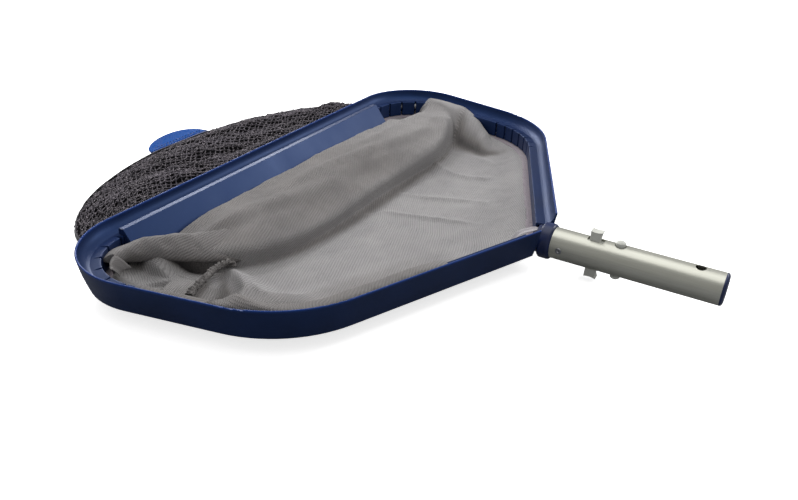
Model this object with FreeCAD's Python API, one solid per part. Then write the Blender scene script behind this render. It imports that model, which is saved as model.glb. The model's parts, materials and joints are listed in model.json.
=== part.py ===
import FreeCAD, Part
import math
import os
from FreeCAD import Matrix, Vector

# Leaf skimmer net, in millimetres. +X runs along the handle from the collar to the handle's free end, and +Z
# is up out of the net's mouth. The origin is on the handle's axis at the collar face, where a pole slid over
# it stops.

# Rim, seen from above: the outer lip as straight edges that meet at apexes, rounded by the corner radii.
NECK_APEX = (-2.9, 12.3)
REAR_APEX = (-106.1, 254.2)
FRONT_APEX = (-331.1, 301.4)
REAR_CORNER_R = 112.0
FRONT_CORNER_R = 72.0
RIM_END_Y = 21.0
LIP_Z = 19.0

# Rim section: u runs inward from the lip, v runs up from the lip's top.
RIM_DEPTH = 28.5
WALL_LEAN = 6.5
RIDGE_U = 18.5
RIDGE_V = -11.5
WALL = 2.0
LIP_THICK = 1.8
LIP_ROUND = 0.8
WALL_BOW = (2.6, -14.6)
TROUGH_LOW = (4.5, -8.8)
LEDGE_EDGE = (9.8, -12.4)
RIDGE_ROUND = 0.8
BOX_TOP = ((6.4, -15.4), (10.4, -14.5), (16.5, -13.8))
BOX_FLOOR_U = 7.4
CHANNEL_DRAFT = 0.6
CHANNEL_TOP_V = -24.3
CHANNEL_FLOOR_V = -27.3
SLOT_U = (12.6, 15.0)

# Front bar cover, as a step over the ledge and an inner wall that slopes down into the mouth.
COVER_TOP = ((12.6, -11.2), (13.0, -6.2), (14.0, -5.4), (18.6, -5.4))
COVER_FOOT = ((34.0, -26.0), (34.0, -27.6), (18.6, -27.6))
COVER_HOLLOW = ((20.6, -11.4), (31.9, -26.3), (31.9, -29.0), (20.6, -29.0))
COVER_END_MARGINS = (9.0, 0.5)
COVER_END_WALL = 2.0

# Corner notches that let the ledge and inner wall bend.
NOTCH_TIP_U = 10.6
NOTCH_BASE_U = 20.5
NOTCH_HALF_WIDTH = 1.6
FRONT_NOTCHES = 6
REAR_NOTCHES = 7
NOTCH_END_MARGIN = 0.03
NOTCH_TOP_Z = 10.0

# Bent rod inside the rim, and the way its two ends turn into the handle.
ROD_R = 3.5
ROD_U = 12.4
ROD_V = -19.0
LEG_Y = 6.2
NECK_BEND_R = 14.0

# Net hem, held in the rim's channel by a cord.
CORD_R = 1.2
CORD_U = 11.4
TAPE = 0.8
TAPE_REACH = 6.0
TAPE_END = ((-33.0, -12.0), (-20.0, 8.0))
TAPE_END_RISE = 1.2
TAPE_END_HALF_WIDTH = 3.6

# Handle tube and its openings.
TUBE_R = 14.3
TUBE_BORE_R = 13.1
TUBE_LENGTH = 146.2
POLE_HOLE_X = 125.6
POLE_HOLE_R = 4.5
BUTTON_HOLE_R = 4.9
TAB_SLOT_X = (29.8, 44.4)
TAB_SLOT_WIDTH = 9.0

# Collar, spigot and rivet at the neck.
COLLAR_R = 16.5
COLLAR_LENGTH = 12.0
SPIGOT_R = 13.0
SPIGOT_LENGTH = 16.0
RIVET_X = 8.9
RIVET_R = 1.6
RIVET_HEAD_R = 2.9
RIVET_HEAD = 0.9
DIMPLE_R = 1.5
BOSS_R = 12.5
BOSS_LENGTH = 3.5
COLLAR_ROUND = 3.0
TONGUE = (11.1, 2.2, 3.0)

# Butterfly clip inside the tube.
PIVOT_X = 21.0
PIVOT_Z = 10.1
ARM_THICK = 2.2
ARM_HALF_WIDTH = 6.0
ARM_TIP_X = 66.0
BRIDGE_END_X = 18.4
FINGER_TAB_X = (32.2, 41.0)
FINGER_TAB_WIDTH = 8.0
FINGER_TAB_TOP = 23.1
FINGER_TAB_FLARE = 1.6
FINGER_TAB_DISH = 1.2
BUTTON_X = 58.5
BUTTON_ROOT_R = 3.7
BUTTON_R = 4.3
BUTTON_STEP_Z = 14.5
BUTTON_SHOULDER_Z = 17.0
BUTTON_TOP_Z = 18.9

# End bush.
BUSH_FLANGE = 3.0
BUSH_SPIGOT = 13.0
BUSH_WALL = 2.0
BUSH_ROUND = 4.0
BUSH_EDGE = 0.8

# Bag: a flat double net that lies under the rim and runs out beyond the front bar.
GROUND_Z = -25.0
BAG_TOP_Z = -11.9
BAG_TOP_INSET = 19.0
BAG_FOOT_INSET = 38.0
MOUTH_INSET = 28.0
MOUTH_CUT_DEPTH = 6.0
NET_THICK = 1.2
NET_GAP = 0.8
LOBE_BACK_X = -270.0
LOBE_CLEAR_X = -341.0
LOBE_END_X = -480.0
LOBE_HALF_WIDTH = 220.0
LOBE_CENTRE_Y = 16.0
LOBE_CROWN_FROM_Z = -18.0
LOBE_CROWN_TOP_Z = -3.0
CROWN_INSET = 34.0
LOBE_SHAPE = ((0.0, 0.86), (0.35, 0.96), (0.53, 1.0), (0.74, 0.83), (0.9, 0.57), (0.98, 0.28), (1.0, 0.0))

# Binding along the bag's end seam, and the pull tab sewn to it.
BINDING_HEIGHT = 5.0
BINDING_THICK = 0.9
BINDING_GAP = 0.3
PULL_TAB_Y = 29.0
PULL_TAB_LENGTH = 94.0
PULL_TAB_DEPTH = 21.0
PULL_TAB_THICK = 1.8
PULL_TAB_TILT = 6.0
PULL_TAB_Z = -19.0
STITCH_COUNT = 16
STITCH_LENGTH = 3.4
STITCH_R = 0.45
STITCH_FROM_ROOT = 2.5
STITCH_ROW_MARGIN = 8.0
PULL_TAB_GAP = 2.2

CLEARANCE = 0.1
Z_AXIS = Vector(0, 0, 1)
X_AXIS = Vector(1, 0, 0)
Y_AXIS = Vector(0, 1, 0)


# ---- walking round the rim -----------------------------------------------------------------------

def heading_vector(heading):
    return Vector(math.cos(math.radians(heading)), math.sin(math.radians(heading)), 0)


def inward(heading):
    return heading_vector(heading + 90)


def turned(point, centre, degrees):
    arm = point - centre
    c, s = math.cos(math.radians(degrees)), math.sin(math.radians(degrees))
    return centre + Vector(arm.x * c - arm.y * s, arm.x * s + arm.y * c, 0)


def walk(point, heading, moves):
    """The place and heading at the start of each move: ('straight', length) or ('bend', offset, turn)."""
    stretches = []
    for move in moves:
        stretches.append((point, heading, move))
        if move[0] == "straight":
            point = point + heading_vector(heading) * move[1]
        else:
            point = turned(point, point + inward(heading) * move[1], move[2])
            heading += move[2]
    return stretches


def heading_between(a, b):
    return math.degrees(math.atan2(b[1] - a[1], b[0] - a[0]))


def rim_route():
    """Start point, first heading and moves of the outer lip, from one neck end round to the other."""
    rear_heading = heading_between(NECK_APEX, REAR_APEX)
    side_heading = heading_between(REAR_APEX, FRONT_APEX)
    rear_turn = side_heading - rear_heading
    front_turn = 270 - side_heading
    rear_cut = REAR_CORNER_R * math.tan(math.radians(rear_turn / 2))
    front_cut = FRONT_CORNER_R * math.tan(math.radians(front_turn / 2))
    along = (RIM_END_Y - NECK_APEX[1]) / math.sin(math.radians(rear_heading))
    start = Vector(*NECK_APEX, 0) + heading_vector(rear_heading) * along
    rear = math.dist(NECK_APEX, REAR_APEX) - along - rear_cut
    side = math.dist(REAR_APEX, FRONT_APEX) - rear_cut - front_cut
    front = 2 * (FRONT_APEX[1] - front_cut)
    half = [
        ("straight", rear),
        ("bend", REAR_CORNER_R, rear_turn),
        ("straight", side),
        ("bend", FRONT_CORNER_R, front_turn),
    ]
    return start, rear_heading, half + [("straight", front)] + half[::-1]


def placed(face, point, heading):
    """A section drawn in (u, v) stood up across the route at a point."""
    n, d = inward(heading), heading_vector(heading)
    stood = face.copy()
    stood.transformShape(
        Matrix(n.x, 0, d.x, point.x, n.y, 0, d.y, point.y, 0, 1, 0, LIP_Z + point.z, 0, 0, 0, 1)
    )
    return stood


def swept(face, stretches):
    pieces = []
    for point, heading, move in stretches:
        section = placed(face, point, heading)
        if move[0] == "straight":
            pieces.append(section.extrude(heading_vector(heading) * move[1]))
        else:
            centre = point + inward(heading) * move[1]
            turn = Z_AXIS if move[2] > 0 else Z_AXIS * -1
            pieces.append(section.revolve(centre, turn, abs(move[2])))
    return fused(pieces)


def fused(shapes):
    whole = shapes[0].fuse(shapes[1:]) if len(shapes) > 1 else shapes[0]
    return whole.removeSplitter()


def polygon(points, plane=lambda a, b: Vector(a, b, 0)):
    corners = [plane(*p) for p in points]
    return Part.Face(Part.makePolygon(corners + corners[:1]))


def arc(a, middle, b):
    return Part.Arc(Vector(*a), Vector(*middle), Vector(*b)).toShape()


def line(a, b):
    return Part.makeLine(Vector(*a), Vector(*b))


def box(x, y, z):
    return Part.makeBox(x[1] - x[0], y[1] - y[0], z[1] - z[0], Vector(x[0], y[0], z[0]))


def inset_outline(inset):
    """The rim's outline moved inward, closed straight across the neck."""
    start, heading, moves = rim_route()
    edges = []
    for point, direction, move in walk(start, heading, moves):
        a = point + inward(direction) * inset
        if move[0] == "straight":
            b = a + heading_vector(direction) * move[1]
            edges.append(Part.makeLine(a, b))
        else:
            centre = point + inward(direction) * move[1]
            b = turned(a, centre, move[2])
            edges.append(Part.Arc(a, turned(a, centre, move[2] / 2), b).toShape())
    edges.append(Part.makeLine(b, start + inward(heading) * inset))
    return Part.Wire(edges)


# ---- rim -----------------------------------------------------------------------------------------

def rim_section():
    """Leaning outer wall, thin lip, trough, ledge and a hollow box over the hem channel."""
    out_top, out_bottom = (0, -LIP_ROUND, 0), (WALL_LEAN, -RIM_DEPTH, 0)
    in_top, ledge = (LIP_THICK, -LIP_ROUND, 0), (*LEDGE_EDGE, 0)
    ridge = (RIDGE_U - RIDGE_ROUND, RIDGE_V, 0)
    floor = [
        out_bottom,
        (SLOT_U[0], -RIM_DEPTH, 0),
        (SLOT_U[0], CHANNEL_FLOOR_V, 0),
        (WALL_LEAN + WALL, CHANNEL_FLOOR_V, 0),
        (WALL_LEAN + WALL - CHANNEL_DRAFT, CHANNEL_TOP_V, 0),
        (RIDGE_U - WALL, CHANNEL_TOP_V, 0),
        (RIDGE_U - WALL, CHANNEL_FLOOR_V, 0),
        (SLOT_U[1], CHANNEL_FLOOR_V, 0),
        (SLOT_U[1], -RIM_DEPTH, 0),
        (RIDGE_U, -RIM_DEPTH, 0),
        (RIDGE_U, RIDGE_V - RIDGE_ROUND, 0),
    ]
    edges = [arc(out_top, (*WALL_BOW, 0), out_bottom)]
    edges += [line(a, b) for a, b in zip(floor, floor[1:])]
    edges.append(arc(floor[-1], (RIDGE_U - 0.3 * RIDGE_ROUND, RIDGE_V - 0.2, 0), ridge))
    edges.append(line(ridge, ledge))
    edges.append(arc(ledge, (*TROUGH_LOW, 0), in_top))
    edges.append(arc(in_top, (LIP_THICK / 2, 0, 0), out_top))
    outside = Part.Face(Part.Wire(edges))
    box_floor_v = ROD_V - ROD_R - CLEARANCE
    hollow = polygon([*BOX_TOP, (RIDGE_U - WALL, box_floor_v), (BOX_FLOOR_U, box_floor_v)])
    return outside.cut(hollow).Faces[0]


def notch(centre, radius, angle):
    """A wedge through the ledge and inner wall, its tip out in the trough."""
    out = heading_vector(angle)
    across = inward(angle) * NOTCH_HALF_WIDTH
    tip = centre + out * (radius - NOTCH_TIP_U)
    base = centre + out * (radius - NOTCH_BASE_U)
    corners = [tip, base + across, base - across, tip]
    wedge = Part.Face(Part.makePolygon(corners))
    below = LIP_Z - RIM_DEPTH - 1
    wedge.translate(Z_AXIS * below)
    return wedge.extrude(Z_AXIS * (NOTCH_TOP_Z - below))


def notches(stretches):
    cutters = []
    for point, heading, move in stretches:
        if move[0] != "bend":
            continue
        count = FRONT_NOTCHES if move[1] == FRONT_CORNER_R else REAR_NOTCHES
        centre = point + inward(heading) * move[1]
        for i in range(count):
            share = NOTCH_END_MARGIN + (1 - 2 * NOTCH_END_MARGIN) * i / (count - 1)
            angle = heading - 90 + move[2] * share
            cutters.append(notch(centre, move[1], angle))
    return cutters


def rim_profile():
    stretches = walk(*rim_route())
    return swept(rim_section(), stretches).cut(notches(stretches))


def front_bar_cover():
    """Stiffener clipped over the front bar's ledge, open underneath, its face sloping into the mouth."""
    inner_corner = (RIDGE_U + CLEARANCE, RIDGE_V + 3 * CLEARANCE)
    outside = polygon([*COVER_TOP, *COVER_FOOT, inner_corner])
    stretches = walk(*rim_route())
    point, heading, move = stretches[len(stretches) // 2]
    length = move[1] - sum(COVER_END_MARGINS)
    along = heading_vector(heading)
    start = point + along * COVER_END_MARGINS[0]
    block = placed(outside, start, heading).extrude(along * length)
    room = placed(polygon(COVER_HOLLOW), start + along * COVER_END_WALL, heading)
    return block.cut(room.extrude(along * (length - 2 * COVER_END_WALL)))


def frame_rod():
    """Round rod through the rim's box, its ends turned side by side into the handle."""
    circle = Part.Face(Part.Wire(Part.makeCircle(ROD_R, Vector(ROD_U, ROD_V, 0))))
    start, heading, moves = rim_route()
    turn = 180 - heading
    bend = ("bend", ROD_U - NECK_BEND_R, -turn)
    rod_y = (start + inward(heading) * ROD_U).y
    bend_y = LEG_Y + NECK_BEND_R * (1 - math.cos(math.radians(turn)))
    lead = ("straight", (rod_y - bend_y) / math.sin(math.radians(heading)))
    bend_start = start - heading_vector(heading) * lead[1]
    leg_end = turned(bend_start, bend_start + inward(heading) * bend[1], turn)
    leg = ("straight", SPIGOT_LENGTH - leg_end.x - CLEARANCE)
    leg_start = leg_end + X_AXIS * leg[1]
    route = [leg, bend, lead] + moves + [lead, bend, leg]
    rod = swept(circle, walk(leg_start, 180, route))
    return rod.cut(cross_hole())


def cross_hole(radius=RIVET_R + CLEARANCE):
    return Part.makeCylinder(radius, 4 * TUBE_R, Vector(RIVET_X, -2 * TUBE_R, 0), Y_AXIS)


# ---- net hem -------------------------------------------------------------------------------------

def hem_cord():
    v = CHANNEL_FLOOR_V + CORD_R + CLEARANCE
    circle = Part.Face(Part.Wire(Part.makeCircle(CORD_R, Vector(CORD_U, v, 0))))
    return swept(circle, walk(*rim_route()))


def hem_tape():
    """Tape that hangs from the cord through the slot and turns in under the inner wall."""
    u, foot, top = SLOT_U[0] + 0.7, -RIM_DEPTH - TAPE, CHANNEL_TOP_V - 0.4
    reach = RIDGE_U + TAPE_REACH
    section = polygon([
        (u, top),
        (u, foot - TAPE),
        (reach, foot - TAPE),
        (reach, foot),
        (u + TAPE, foot),
        (u + TAPE, top),
    ])
    band = swept(section, walk(*rim_route()))
    return Part.makeCompound([band, folded_end()])


def folded_end():
    """The tape's free end, laid across the two rod legs between the rim's ends."""
    low, high = (Vector(*end, ROD_R + TAPE_END_RISE) for end in TAPE_END)
    side = (high - low).cross(Z_AXIS).normalize() * TAPE_END_HALF_WIDTH
    strip = Part.Face(Part.makePolygon([low - side, high - side, high + side, low + side, low - side]))
    return strip.extrude(Z_AXIS * TAPE)


# ---- neck and handle -----------------------------------------------------------------------------

def revolved(points):
    """A solid of revolution about the handle's axis, from (x, r) corners."""
    face = polygon(points, lambda x, r: Vector(x, 0, r))
    return face.revolve(Vector(), X_AXIS, 360)


def neck_yoke():
    collar = Part.makeCylinder(COLLAR_R, COLLAR_LENGTH, Vector(-COLLAR_LENGTH, 0, 0), X_AXIS)
    rims = [e for e in collar.Edges if isinstance(e.Curve, Part.Circle)]
    collar = collar.makeFillet(COLLAR_ROUND, rims)
    boss_end = Vector(-COLLAR_LENGTH - BOSS_LENGTH, 0, 0)
    boss = Part.makeCylinder(BOSS_R, BOSS_LENGTH + 1, boss_end, X_AXIS)
    spigot = Part.makeCylinder(SPIGOT_R, SPIGOT_LENGTH + 1, Vector(-1, 0, 0), X_AXIS)
    body = fused([collar, boss, spigot])
    root, half_y, half_z = TONGUE
    half_y, half_z = half_y + CLEARANCE, half_z + CLEARANCE
    pocket = box((root - 2 * CLEARANCE, SPIGOT_LENGTH + 1), (-half_y, half_y), (-half_z, half_z))
    return body.cut([frame_rod_sleeve(), pocket, cross_hole()])


def frame_rod_sleeve():
    """The room the two rod legs take up, a little larger than the rod."""
    room = []
    leg_x = rod_leg_x()
    turn = 180 - rim_route()[1]
    for side in (1, -1):
        outline = Part.makeCircle(ROD_R + CLEARANCE / 2, Vector(leg_x, side * LEG_Y, 0), X_AXIS)
        circle = Part.Face(Part.Wire(outline))
        bend_centre = Vector(leg_x, side * (LEG_Y + NECK_BEND_R), 0)
        room.append(circle.extrude(X_AXIS * (SPIGOT_LENGTH + 1 - leg_x)))
        room.append(circle.revolve(bend_centre, Z_AXIS * -side, turn))
    return fused(room)


def rod_leg_x():
    """Where a rod leg leaves its bend and runs straight."""
    start, heading, _ = rim_route()
    turn = math.radians(180 - heading)
    rod = start + inward(heading) * ROD_U
    lead = (rod.y - LEG_Y - NECK_BEND_R * (1 - math.cos(turn))) / math.sin(math.radians(heading))
    return rod.x - heading_vector(heading).x * lead + NECK_BEND_R * math.sin(turn)


def neck_rivet():
    shank = Part.makeCylinder(RIVET_R, 2 * TUBE_R, Vector(RIVET_X, -TUBE_R, 0), Y_AXIS)
    heads = []
    for side in (1, -1):
        seat = Vector(RIVET_X, side * TUBE_R, 0)
        head = Part.makeCylinder(RIVET_HEAD_R, RIVET_HEAD, seat, Y_AXIS * side)
        top_y = TUBE_R + RIVET_HEAD
        outer_rim = [e for e in head.Edges if abs(abs(e.CenterOfMass.y) - top_y) < 0.01]
        head = head.makeFillet(0.6, outer_rim)
        dimple = Part.makeSphere(DIMPLE_R, Vector(RIVET_X, side * (top_y + 0.8), 0))
        heads.append(head.cut(dimple))
    return fused([shank] + heads)


def handle_tube():
    tube = Part.makeCylinder(TUBE_R, TUBE_LENGTH, Vector(), X_AXIS)
    bore = Part.makeCylinder(TUBE_BORE_R, TUBE_LENGTH, Vector(), X_AXIS)
    length = 4 * TUBE_R
    pole_hole = Part.makeCylinder(POLE_HOLE_R, length, Vector(POLE_HOLE_X, 0, -length / 2))
    button_hole = Part.makeCylinder(BUTTON_HOLE_R, length, Vector(BUTTON_X, 0, -length / 2))
    half = TAB_SLOT_WIDTH / 2
    slot = box(TAB_SLOT_X, (-half, half), (-length / 2, length / 2))
    slot = slot.makeFillet(1.5, [e for e in slot.Edges if abs(e.tangentAt(e.FirstParameter).z) > 0.9])
    return tube.cut([bore, pole_hole, button_hole, slot, cross_hole()])


def handle_end_bush():
    """Push-in end bush, closed by a rounded flange the size of the tube."""
    end = TUBE_LENGTH
    spigot_r = TUBE_BORE_R - CLEARANCE / 2
    profile = [
        (end - BUSH_SPIGOT, spigot_r - BUSH_WALL),
        (end - BUSH_SPIGOT, spigot_r - 0.5),
        (end - BUSH_SPIGOT + 1.0, spigot_r),
        (end, spigot_r),
        (end, TUBE_R),
        (end + BUSH_EDGE, TUBE_R),
    ]
    steps = 6
    for i in range(1, steps + 1):
        a = math.radians(90 * i / steps)
        x = end + BUSH_EDGE + (BUSH_FLANGE - BUSH_EDGE) * math.sin(a)
        profile.append((x, TUBE_R - BUSH_ROUND * (1 - math.cos(a))))
    profile += [(end + BUSH_FLANGE, 0), (end + 1.0, 0), (end + 1.0, spigot_r - BUSH_WALL)]
    return revolved(profile)


# ---- butterfly clip ------------------------------------------------------------------------------

def clip_bridge():
    """The U bend that joins the arms, with a tongue in the spigot's pocket."""
    half = ARM_THICK / 2
    outer = PIVOT_Z + half
    width = (-ARM_HALF_WIDTH, ARM_HALF_WIDTH)
    back = box((SPIGOT_LENGTH + CLEARANCE, BRIDGE_END_X), width, (-outer, outer))
    ear_x = (BRIDGE_END_X - 0.4, PIVOT_X - half - 0.3)
    ears = [box(ear_x, width, (z - half, z + half)) for z in (PIVOT_Z, -PIVOT_Z)]
    root, half_y, half_z = TONGUE
    tongue = box((root, SPIGOT_LENGTH + 0.5), (-half_y, half_y), (-half_z, half_z))
    return fused([back, tongue] + ears)


def finger_tab():
    """Flared finger tab with a dished top."""
    x0, x1 = FINGER_TAB_X
    root = PIVOT_Z + ARM_THICK / 2 - 0.3
    middle = (root + FINGER_TAB_TOP) / 2
    low_left, low_right = (x0, 0, root), (x1, 0, root)
    top_left = (x0 - 0.4, 0, FINGER_TAB_TOP - 0.4)
    top_right = (x1 + FINGER_TAB_FLARE, 0, FINGER_TAB_TOP)
    edges = [
        line(low_left, low_right),
        arc(low_right, (x1 + 0.1, 0, middle), top_right),
        arc(top_right, ((x0 + x1) / 2, 0, FINGER_TAB_TOP - FINGER_TAB_DISH), top_left),
        line(top_left, low_left),
    ]
    face = Part.Face(Part.Wire(edges))
    face.translate(Y_AXIS * (-FINGER_TAB_WIDTH / 2))
    tab = face.extrude(Y_AXIS * FINGER_TAB_WIDTH)
    upright = [e for e in tab.Edges if e.BoundBox.YLength < 0.01 and e.BoundBox.ZLength > 5]
    return tab.makeFillet(0.8, upright)


def lock_button():
    """Round button with a narrower root inside the tube and a domed end."""
    root = Vector(BUTTON_X, 0, PIVOT_Z + ARM_THICK / 2 - 0.3)
    step = Vector(BUTTON_X, 0, BUTTON_STEP_Z)
    base = Part.makeCylinder(BUTTON_ROOT_R, BUTTON_STEP_Z - root.z, root)
    shaft = Part.makeCylinder(BUTTON_R, BUTTON_SHOULDER_Z - BUTTON_STEP_Z, step)
    dome_height = BUTTON_TOP_Z - BUTTON_SHOULDER_Z
    dome_r = (BUTTON_R ** 2 + dome_height ** 2) / (2 * dome_height)
    ball = Part.makeSphere(dome_r, Vector(BUTTON_X, 0, BUTTON_TOP_Z - dome_r))
    reach = (-2 * BUTTON_R, 2 * BUTTON_R)
    above = box(reach, reach, (BUTTON_SHOULDER_Z, BUTTON_TOP_Z + 1))
    above.translate(X_AXIS * BUTTON_X)
    return base.fuse([shaft, ball.common(above)])


def clip_arm():
    """One spring arm with its rounded living-hinge end, finger tab and lock button, on the +Z side."""
    half = ARM_THICK / 2
    width = (-ARM_HALF_WIDTH, ARM_HALF_WIDTH)
    strip = box((PIVOT_X, ARM_TIP_X), width, (PIVOT_Z - half, PIVOT_Z + half))
    knuckle_end = Vector(PIVOT_X, -ARM_HALF_WIDTH, PIVOT_Z)
    knuckle = Part.makeCylinder(half, 2 * ARM_HALF_WIDTH, knuckle_end, Y_AXIS)
    return fused([strip, knuckle, finger_tab(), lock_button()])


def mirrored_down(shape):
    return shape.mirror(Vector(), Z_AXIS)


# ---- bag -----------------------------------------------------------------------------------------

def lobe_wire(inset, back_x, z):
    """Outline of the bag beyond the front bar: a smooth curve closed by a straight edge at back_x."""
    depth = LOBE_BACK_X - LOBE_END_X - inset
    half = LOBE_HALF_WIDTH - inset
    points = [
        Vector(LOBE_BACK_X - depth * fx, LOBE_CENTRE_Y + side * half * fy, z)
        for side, shape in ((1, LOBE_SHAPE), (-1, LOBE_SHAPE[-2::-1]))
        for fx, fy in shape
    ]
    curve = Part.BSplineCurve()
    curve.interpolate(points)
    whole = Part.Face(Part.Wire([curve.toShape(), Part.makeLine(points[-1], points[0])]))
    keep = Part.makePlane(600, 800, Vector(back_x - 600, -400, z))
    return whole.common(keep).Faces[0].OuterWire


def tray_inset(z, inset):
    """How far in from the lip the tray's leaning wall is at a height. The lean widens the gap of layers."""
    fall = (BAG_TOP_Z - z) / (BAG_TOP_Z - GROUND_Z)
    lean = BAG_FOOT_INSET - BAG_TOP_INSET
    slant = math.hypot(lean, BAG_TOP_Z - GROUND_Z) / (BAG_TOP_Z - GROUND_Z)
    return BAG_TOP_INSET + lean * fall + inset * slant


def bag_volume(inset):
    """Everything inside the bag: a tray tapering down under the rim, and a crowned lobe beyond the bar."""
    z0, z1 = GROUND_Z + inset, BAG_TOP_Z - inset
    foot_wire = inset_outline(tray_inset(z0, inset))
    top_wire = inset_outline(tray_inset(z1, inset))
    foot_wire.translate(Z_AXIS * z0)
    top_wire.translate(Z_AXIS * z1)
    tray = Part.makeLoft([foot_wire, top_wire], True, True)
    neck = Part.Face(lobe_wire(inset, LOBE_BACK_X, z0)).extrude(Z_AXIS * (z1 - z0))
    crown = Part.makeLoft([
        lobe_wire(inset, LOBE_CLEAR_X - inset, LOBE_CROWN_FROM_Z - inset),
        lobe_wire(inset + CROWN_INSET, LOBE_CLEAR_X - inset, LOBE_CROWN_TOP_Z - inset),
    ], True, True)
    foot = Part.Face(lobe_wire(inset, LOBE_CLEAR_X - inset, z0))
    return tray.fuse([neck, crown, foot.extrude(Z_AXIS * (LOBE_CROWN_FROM_Z - inset - z0))])


def net(inset):
    """One net layer as a thin closed shell, open at the mouth."""
    mouth = Part.Face(inset_outline(MOUTH_INSET))
    mouth.translate(Z_AXIS * (BAG_TOP_Z - MOUTH_CUT_DEPTH))
    shell = bag_volume(inset).cut(bag_volume(inset + NET_THICK))
    return shell.cut(mouth.extrude(Z_AXIS * (RIM_DEPTH + MOUTH_CUT_DEPTH))).removeSplitter()


def seam_binding():
    """Narrow woven binding round the bag's end seam."""
    foot = PULL_TAB_Z - BINDING_HEIGHT / 2
    outer = Part.Face(lobe_wire(-BINDING_GAP - BINDING_THICK, LOBE_CLEAR_X, foot))
    inner = Part.Face(lobe_wire(-BINDING_GAP, LOBE_CLEAR_X + 5, foot))
    return outer.cut(inner).extrude(Z_AXIS * BINDING_HEIGHT)


def tilted(shape):
    """From the tab's own flat frame, root edge on the Y axis and body towards -X, to its place on the bag."""
    root_x = LOBE_END_X - BINDING_GAP - BINDING_THICK - PULL_TAB_GAP
    shape.rotate(Vector(), Y_AXIS, PULL_TAB_TILT)
    shape.translate(Vector(root_x, PULL_TAB_Y, PULL_TAB_Z))
    return shape


def pull_tab():
    half = PULL_TAB_LENGTH / 2
    edges = [
        arc((0, half, 0), (-PULL_TAB_DEPTH, 0, 0), (0, -half, 0)),
        line((0, -half, 0), (0, half, 0)),
    ]
    face = Part.Face(Part.Wire(edges))
    face.translate(Z_AXIS * (-PULL_TAB_THICK / 2))
    return tilted(face.extrude(Z_AXIS * PULL_TAB_THICK))


def tab_stitches():
    """Row of thread stitches along the tab's root edge."""
    pitch = (PULL_TAB_LENGTH - 2 * STITCH_ROW_MARGIN) / STITCH_COUNT
    z = PULL_TAB_THICK / 2 + STITCH_R + 0.05
    stitches = []
    for i in range(STITCH_COUNT):
        y = (i - (STITCH_COUNT - 1) / 2) * pitch - STITCH_LENGTH / 2
        start = Vector(-STITCH_FROM_ROOT, y, z)
        stitches.append(Part.makeCylinder(STITCH_R, STITCH_LENGTH, start, Y_AXIS))
    return tilted(Part.makeCompound(stitches))


def write(shapes):
    os.makedirs("parts", exist_ok=True)
    for node, shape in shapes.items():
        shape.exportStep("parts/" + node + ".step")


write({
    "rim_profile": rim_profile(),
    "front_bar_cover": front_bar_cover(),
    "frame_rod": frame_rod(),
    "hem_cord": hem_cord(),
    "hem_tape": hem_tape(),
    "neck_yoke": neck_yoke(),
    "neck_rivet": neck_rivet(),
    "handle_tube": handle_tube(),
    "handle_end_bush": handle_end_bush(),
    "clip_bridge": clip_bridge(),
    "clip_arm_upper": clip_arm(),
    "clip_arm_lower": mirrored_down(clip_arm()),
    "outer_net": net(0),
    "inner_net": net(NET_THICK + NET_GAP),
    "seam_binding": seam_binding(),
    "pull_tab": pull_tab(),
    "tab_stitches": tab_stitches(),
})
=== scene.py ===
import json
import math
import bpy
import numpy as np
from mathutils import Matrix, Vector, kdtree


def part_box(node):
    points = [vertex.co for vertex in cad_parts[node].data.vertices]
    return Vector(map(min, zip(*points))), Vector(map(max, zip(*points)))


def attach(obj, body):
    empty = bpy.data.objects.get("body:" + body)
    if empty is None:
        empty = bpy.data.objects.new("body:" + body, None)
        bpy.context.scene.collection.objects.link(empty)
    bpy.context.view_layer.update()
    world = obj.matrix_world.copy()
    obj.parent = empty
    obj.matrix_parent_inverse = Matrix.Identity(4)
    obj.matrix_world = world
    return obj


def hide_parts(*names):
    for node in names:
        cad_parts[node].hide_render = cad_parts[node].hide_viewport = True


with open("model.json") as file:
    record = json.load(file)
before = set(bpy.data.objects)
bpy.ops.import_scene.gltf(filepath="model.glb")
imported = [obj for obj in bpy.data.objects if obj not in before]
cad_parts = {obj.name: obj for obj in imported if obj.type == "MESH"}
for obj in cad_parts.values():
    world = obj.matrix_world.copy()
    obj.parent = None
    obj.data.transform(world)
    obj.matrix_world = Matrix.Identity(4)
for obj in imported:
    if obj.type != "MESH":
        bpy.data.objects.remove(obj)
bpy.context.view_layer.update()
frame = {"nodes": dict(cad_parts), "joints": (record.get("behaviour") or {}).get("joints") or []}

MM = 0.001

# The rim's outer lip seen from above, in millimetres. These are the frame's own driving dimensions.
NECK_APEX = np.array((-2.9, 12.3))
REAR_APEX = np.array((-106.1, 254.2))
FRONT_APEX = np.array((-331.1, 301.4))
REAR_CORNER_R = 112.0
FRONT_CORNER_R = 72.0
RIM_END_Y = 21.0
RIM_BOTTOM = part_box("rim_profile")[0].z / MM
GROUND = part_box("outer_net")[0].z / MM


# ---- small helpers -----------------------------------------------------------------------------

NOISE_TABLE = 256
NOISE_ORIGIN = 64
CURVE_STEPS = 24


def heading_vector(heading):
    return np.array((math.cos(heading), math.sin(heading)))


def unit(vectors):
    return vectors / np.linalg.norm(vectors, axis=1)[:, None]


def smoothstep(x, low=0.0, high=1.0):
    t = np.clip((x - low) / (high - low), 0, 1)
    return t * t * (3 - 2 * t)


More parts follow.
